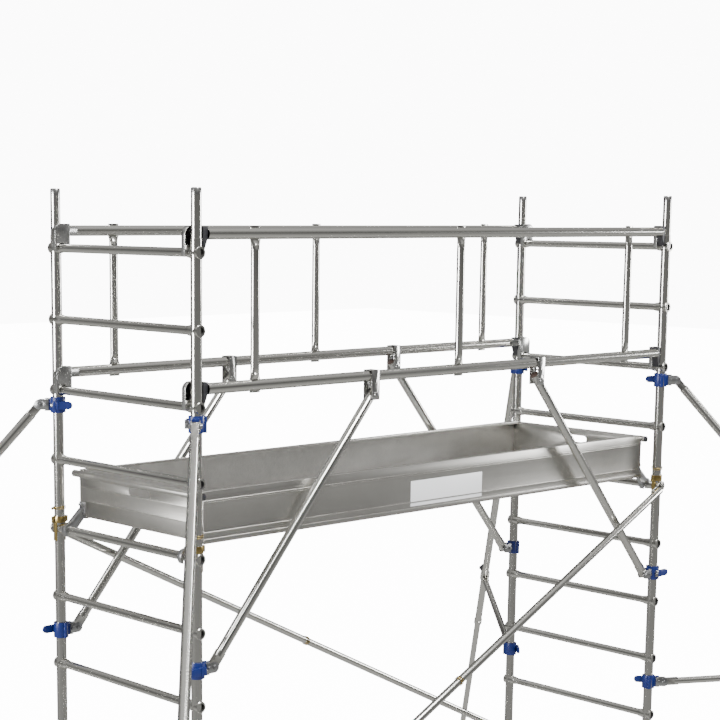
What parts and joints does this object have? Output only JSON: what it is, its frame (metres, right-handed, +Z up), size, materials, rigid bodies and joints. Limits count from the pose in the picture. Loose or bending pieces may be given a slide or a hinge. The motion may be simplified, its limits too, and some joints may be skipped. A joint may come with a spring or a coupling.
{
  "type": "mobile scaffold tower",
  "caption": "Narrow aluminium rolling scaffold tower: ladder end frames, tray deck with guardrails, telescopic stabilisers and braked castors on levelling legs.",
  "frame": {"origin": "on the floor under the middle of the tower", "axes": "+X along the deck from the left ladder frame to the right one, +Y from the front guardrail to the back one, +Z up"},
  "size_m": [5.8286, 4.3936, 3.407],
  "materials": {
    "tube_aluminium": "extruded and polished, fine lines along the tube",
    "bright_aluminium": "smooth bright",
    "mill_aluminium": "mill finish, slightly dull",
    "bright_zinc": "bright zinc plate",
    "yellow_zinc": "yellow passivated zinc plate",
    "blue_plastic": "moulded, semi-gloss",
    "black_plastic": "moulded, matte",
    "red_plastic": "moulded, semi-gloss",
    "grey_rubber": "solid tyre, matte"
  },
  "bodies": {
    "root": {"frame_uprights": "tube_aluminium", "frame_rungs": "tube_aluminium", "frame_spigots": "bright_aluminium", "joint_fittings": "yellow_zinc", "leg_nuts": "bright_zinc", "deck_frame_beams": "mill_aluminium", "deck_floor_planks": "mill_aluminium", "deck_end_boards": "mill_aluminium", "deck_hooks": "bright_zinc", "guardrail_rails": "tube_aluminium", "guardrail_posts": "tube_aluminium", "guardrail_end_brackets": "bright_aluminium", "guardrail_strut_brackets": "bright_aluminium", "rail_clamp_saddles": "blue_plastic", "diagonal_braces": "tube_aluminium", "plastic_fittings": "black_plastic"},
    "castor_leg_front_left": {"castor_leg_front_left": "bright_zinc"},
    "castor_leg_front_right": {"castor_leg_front_right": "bright_zinc"},
    "castor_leg_back_left": {"castor_leg_back_left": "bright_zinc"},
    "castor_leg_back_right": {"castor_leg_back_right": "bright_zinc"},
    "castor_fork_front_left": {"castor_fork_front_left": "bright_zinc"},
    "castor_fork_front_right": {"castor_fork_front_right": "bright_zinc"},
    "castor_fork_back_left": {"castor_fork_back_left": "bright_zinc"},
    "castor_fork_back_right": {"castor_fork_back_right": "bright_zinc"},
    "castor_wheel_front_left": {"castor_wheel_front_left": "grey_rubber"},
    "castor_wheel_front_right": {"castor_wheel_front_right": "grey_rubber"},
    "castor_wheel_back_left": {"castor_wheel_back_left": "grey_rubber"},
    "castor_wheel_back_right": {"castor_wheel_back_right": "grey_rubber"},
    "castor_brake_front_left": {"castor_brake_front_left": "red_plastic"},
    "castor_brake_front_right": {"castor_brake_front_right": "red_plastic"},
    "castor_brake_back_left": {"castor_brake_back_left": "red_plastic"},
    "castor_brake_back_right": {"castor_brake_back_right": "red_plastic"},
    "rail_strut_front_left": {"rail_strut_front_left": "tube_aluminium"},
    "rail_strut_front_right": {"rail_strut_front_right": "tube_aluminium"},
    "rail_strut_back_left": {"rail_strut_back_left": "tube_aluminium"},
    "rail_strut_back_right": {"rail_strut_back_right": "tube_aluminium"},
    "rail_clamp_front_left": {"rail_clamp_front_left": "blue_plastic"},
    "rail_clamp_front_right": {"rail_clamp_front_right": "blue_plastic"},
    "rail_clamp_back_left": {"rail_clamp_back_left": "blue_plastic"},
    "rail_clamp_back_right": {"rail_clamp_back_right": "blue_plastic"},
    "stabiliser_clamps_front_left": {"stabiliser_clamps_front_left": "blue_plastic"},
    "stabiliser_clamps_front_right": {"stabiliser_clamps_front_right": "blue_plastic"},
    "stabiliser_clamps_back_left": {"stabiliser_clamps_back_left": "blue_plastic"},
    "stabiliser_clamps_back_right": {"stabiliser_clamps_back_right": "blue_plastic"},
    "stabiliser_gates_front_left": {"stabiliser_gates_front_left": "blue_plastic"},
    "stabiliser_gates_front_right": {"stabiliser_gates_front_right": "blue_plastic"},
    "stabiliser_gates_back_left": {"stabiliser_gates_back_left": "blue_plastic"},
    "stabiliser_gates_back_right": {"stabiliser_gates_back_right": "blue_plastic"},
    "stabiliser_tube_front_left": {"stabiliser_tube_front_left": "tube_aluminium"},
    "stabiliser_tube_front_right": {"stabiliser_tube_front_right": "tube_aluminium"},
    "stabiliser_tube_back_left": {"stabiliser_tube_back_left": "tube_aluminium"},
    "stabiliser_tube_back_right": {"stabiliser_tube_back_right": "tube_aluminium"},
    "stabiliser_leg_front_left": {"stabiliser_leg_front_left": "bright_aluminium"},
    "stabiliser_leg_front_right": {"stabiliser_leg_front_right": "bright_aluminium"},
    "stabiliser_leg_back_left": {"stabiliser_leg_back_left": "bright_aluminium"},
    "stabiliser_leg_back_right": {"stabiliser_leg_back_right": "bright_aluminium"},
    "stabiliser_strut_front_left": {"stabiliser_strut_front_left": "tube_aluminium"},
    "stabiliser_strut_front_right": {"stabiliser_strut_front_right": "tube_aluminium"},
    "stabiliser_strut_back_left": {"stabiliser_strut_back_left": "tube_aluminium"},
    "stabiliser_strut_back_right": {"stabiliser_strut_back_right": "tube_aluminium"}
  },
  "joints": [
    {"name": "leg_slide_front_left", "type": "slide", "parent": "root", "child": "castor_leg_front_left", "axis": [0, 0, 1], "range_m": [-0.14, 0]},
    {"name": "castor_swivel_front_left", "type": "hinge", "parent": "castor_leg_front_left", "child": "castor_fork_front_left", "pos_m": [-1.258, -0.388, 0.162], "axis": [0, 0, 1], "continuous": true},
    {"name": "wheel_spin_front_left", "type": "hinge", "parent": "castor_fork_front_left", "child": "castor_wheel_front_left", "pos_m": [-1.303, -0.388, 0.075], "axis": [0, 1, 0], "continuous": true},
    {"name": "brake_pedal_front_left", "type": "hinge", "parent": "castor_fork_front_left", "child": "castor_brake_front_left", "pos_m": [-1.36, -0.388, 0.144], "axis": [0, -1, 0], "range_deg": [0, 12]},
    {"name": "rail_strut_swing_front_left", "type": "hinge", "parent": "root", "child": "rail_strut_front_left", "pos_m": [-0.454, -0.388, 2.694], "axis": [0, -1, 0], "range_deg": [0, 60]},
    {"name": "rail_clamp_open_front_left", "type": "hinge", "parent": "root", "child": "rail_clamp_front_left", "pos_m": [-1.258, -0.36, 1.825], "axis": [0, 0, -1], "range_deg": [0, 100]},
    {"name": "stabiliser_yaw_front_left", "type": "hinge", "parent": "root", "child": "stabiliser_clamps_front_left", "pos_m": [-1.258, -0.388, 2], "axis": [0, 0, 1], "range_deg": [-30, 30]},
    {"name": "stabiliser_gate_open_front_left", "type": "hinge", "parent": "stabiliser_clamps_front_left", "child": "stabiliser_gates_front_left", "pos_m": [-1.23732, -0.40688, 2], "axis": [0, 0, -1], "range_deg": [0, 100]},
    {"name": "stabiliser_lift_front_left", "type": "hinge", "parent": "stabiliser_clamps_front_left", "child": "stabiliser_tube_front_left", "pos_m": [-1.3025, -0.43674, 2.647], "axis": [-0.7385, 0.6743, 0], "range_deg": [0, 30]},
    {"name": "stabiliser_extend_front_left", "type": "slide", "parent": "stabiliser_tube_front_left", "child": "stabiliser_leg_front_left", "axis": [-0.4476, -0.4901, -0.748], "range_m": [-1.35, 0]},
    {"name": "stabiliser_strut_fold_front_left", "type": "hinge", "parent": "stabiliser_tube_front_left", "child": "stabiliser_strut_front_left", "pos_m": [-1.99429, -1.19434, 1.43966], "axis": [0.7385, -0.6743, 0], "range_deg": [0, 45]},
    {"name": "leg_slide_front_right", "type": "slide", "parent": "root", "child": "castor_leg_front_right", "axis": [0, 0, 1], "range_m": [-0.14, 0]},
    {"name": "castor_swivel_front_right", "type": "hinge", "parent": "castor_leg_front_right", "child": "castor_fork_front_right", "pos_m": [1.258, -0.388, 0.162], "axis": [0, 0, 1], "continuous": true},
    {"name": "wheel_spin_front_right", "type": "hinge", "parent": "castor_fork_front_right", "child": "castor_wheel_front_right", "pos_m": [1.213, -0.388, 0.075], "axis": [0, 1, 0], "continuous": true},
    {"name": "brake_pedal_front_right", "type": "hinge", "parent": "castor_fork_front_right", "child": "castor_brake_front_right", "pos_m": [1.156, -0.388, 0.144], "axis": [0, -1, 0], "range_deg": [0, 12]},
    {"name": "rail_strut_swing_front_right", "type": "hinge", "parent": "root", "child": "rail_strut_front_right", "pos_m": [0.454, -0.388, 2.694], "axis": [0, 1, 0], "range_deg": [0, 60]},
    {"name": "rail_clamp_open_front_right", "type": "hinge", "parent": "root", "child": "rail_clamp_front_right", "pos_m": [1.258, -0.36, 1.825], "axis": [0, 0, 1], "range_deg": [0, 100]},
    {"name": "stabiliser_yaw_front_right", "type": "hinge", "parent": "root", "child": "stabiliser_clamps_front_right", "pos_m": [1.258, -0.388, 2], "axis": [0, 0, 1], "range_deg": [-30, 30]},
    {"name": "stabiliser_gate_open_front_right", "type": "hinge", "parent": "stabiliser_clamps_front_right", "child": "stabiliser_gates_front_right", "pos_m": [1.23732, -0.40688, 2], "axis": [0, 0, 1], "range_deg": [0, 100]},
    {"name": "stabiliser_lift_front_right", "type": "hinge", "parent": "stabiliser_clamps_front_right", "child": "stabiliser_tube_front_right", "pos_m": [1.3025, -0.43674, 2.647], "axis": [-0.7385, -0.6743, 0], "range_deg": [0, 30]},
    {"name": "stabiliser_extend_front_right", "type": "slide", "parent": "stabiliser_tube_front_right", "child": "stabiliser_leg_front_right", "axis": [0.4476, -0.4901, -0.748], "range_m": [-1.35, 0]},
    {"name": "stabiliser_strut_fold_front_right", "type": "hinge", "parent": "stabiliser_tube_front_right", "child": "stabiliser_strut_front_right", "pos_m": [1.99429, -1.19434, 1.43966], "axis": [0.7385, 0.6743, 0], "range_deg": [0, 45]},
    {"name": "leg_slide_back_left", "type": "slide", "parent": "root", "child": "castor_leg_back_left", "axis": [0, 0, 1], "range_m": [-0.14, 0]},
    {"name": "castor_swivel_back_left", "type": "hinge", "parent": "castor_leg_back_left", "child": "castor_fork_back_left", "pos_m": [-1.258, 0.388, 0.162], "axis": [0, 0, 1], "continuous": true},
    {"name": "wheel_spin_back_left", "type": "hinge", "parent": "castor_fork_back_left", "child": "castor_wheel_back_left", "pos_m": [-1.303, 0.388, 0.075], "axis": [0, 1, 0], "continuous": true},
    {"name": "brake_pedal_back_left", "type": "hinge", "parent": "castor_fork_back_left", "child": "castor_brake_back_left", "pos_m": [-1.36, 0.388, 0.144], "axis": [0, -1, 0], "range_deg": [0, 12]},
    {"name": "rail_strut_swing_back_left", "type": "hinge", "parent": "root", "child": "rail_strut_back_left", "pos_m": [-0.454, 0.388, 2.694], "axis": [0, -1, 0], "range_deg": [0, 60]},
    {"name": "rail_clamp_open_back_left", "type": "hinge", "parent": "root", "child": "rail_clamp_back_left", "pos_m": [-1.258, 0.36, 1.825], "axis": [0, 0, 1], "range_deg": [0, 100]},
    {"name": "stabiliser_yaw_back_left", "type": "hinge", "parent": "root", "child": "stabiliser_clamps_back_left", "pos_m": [-1.258, 0.388, 2], "axis": [0, 0, 1], "range_deg": [-30, 30]},
    {"name": "stabiliser_gate_open_back_left", "type": "hinge", "parent": "stabiliser_clamps_back_left", "child": "stabiliser_gates_back_left", "pos_m": [-1.23732, 0.40688, 2], "axis": [0, 0, 1], "range_deg": [0, 100]},
    {"name": "stabiliser_lift_back_left", "type": "hinge", "parent": "stabiliser_clamps_back_left", "child": "stabiliser_tube_back_left", "pos_m": [-1.3025, 0.43674, 2.647], "axis": [0.7385, 0.6743, 0], "range_deg": [0, 30]},
    {"name": "stabiliser_extend_back_left", "type": "slide", "parent": "stabiliser_tube_back_left", "child": "stabiliser_leg_back_left", "axis": [-0.4476, 0.4901, -0.748], "range_m": [-1.35, 0]},
    {"name": "stabiliser_strut_fold_back_left", "type": "hinge", "parent": "stabiliser_tube_back_left", "child": "stabiliser_strut_back_left", "pos_m": [-1.99429, 1.19434, 1.43966], "axis": [-0.7385, -0.6743, 0], "range_deg": [0, 45]},
    {"name": "leg_slide_back_right", "type": "slide", "parent": "root", "child": "castor_leg_back_right", "axis": [0, 0, 1], "range_m": [-0.14, 0]},
    {"name": "castor_swivel_back_right", "type": "hinge", "parent": "castor_leg_back_right", "child": "castor_fork_back_right", "pos_m": [1.258, 0.388, 0.162], "axis": [0, 0, 1], "continuous": true},
    {"name": "wheel_spin_back_right", "type": "hinge", "parent": "castor_fork_back_right", "child": "castor_wheel_back_right", "pos_m": [1.213, 0.388, 0.075], "axis": [0, 1, 0], "continuous": true},
    {"name": "brake_pedal_back_right", "type": "hinge", "parent": "castor_fork_back_right", "child": "castor_brake_back_right", "pos_m": [1.156, 0.388, 0.144], "axis": [0, -1, 0], "range_deg": [0, 12]},
    {"name": "rail_strut_swing_back_right", "type": "hinge", "parent": "root", "child": "rail_strut_back_right", "pos_m": [0.454, 0.388, 2.694], "axis": [0, 1, 0], "range_deg": [0, 60]},
    {"name": "rail_clamp_open_back_right", "type": "hinge", "parent": "root", "child": "rail_clamp_back_right", "pos_m": [1.258, 0.36, 1.825], "axis": [0, 0, -1], "range_deg": [0, 100]},
    {"name": "stabiliser_yaw_back_right", "type": "hinge", "parent": "root", "child": "stabiliser_clamps_back_right", "pos_m": [1.258, 0.388, 2], "axis": [0, 0, 1], "range_deg": [-30, 30]},
    {"name": "stabiliser_gate_open_back_right", "type": "hinge", "parent": "stabiliser_clamps_back_right", "child": "stabiliser_gates_back_right", "pos_m": [1.23732, 0.40688, 2], "axis": [0, 0, -1], "range_deg": [0, 100]},
    {"name": "stabiliser_lift_back_right", "type": "hinge", "parent": "stabiliser_clamps_back_right", "child": "stabiliser_tube_back_right", "pos_m": [1.3025, 0.43674, 2.647], "axis": [0.7385, -0.6743, 0], "range_deg": [0, 30]},
    {"name": "stabiliser_extend_back_right", "type": "slide", "parent": "stabiliser_tube_back_right", "child": "stabiliser_leg_back_right", "axis": [0.4476, 0.4901, -0.748], "range_m": [-1.35, 0]},
    {"name": "stabiliser_strut_fold_back_right", "type": "hinge", "parent": "stabiliser_tube_back_right", "child": "stabiliser_strut_back_right", "pos_m": [1.99429, 1.19434, 1.43966], "axis": [-0.7385, 0.6743, 0], "range_deg": [0, 45]}
  ]
}
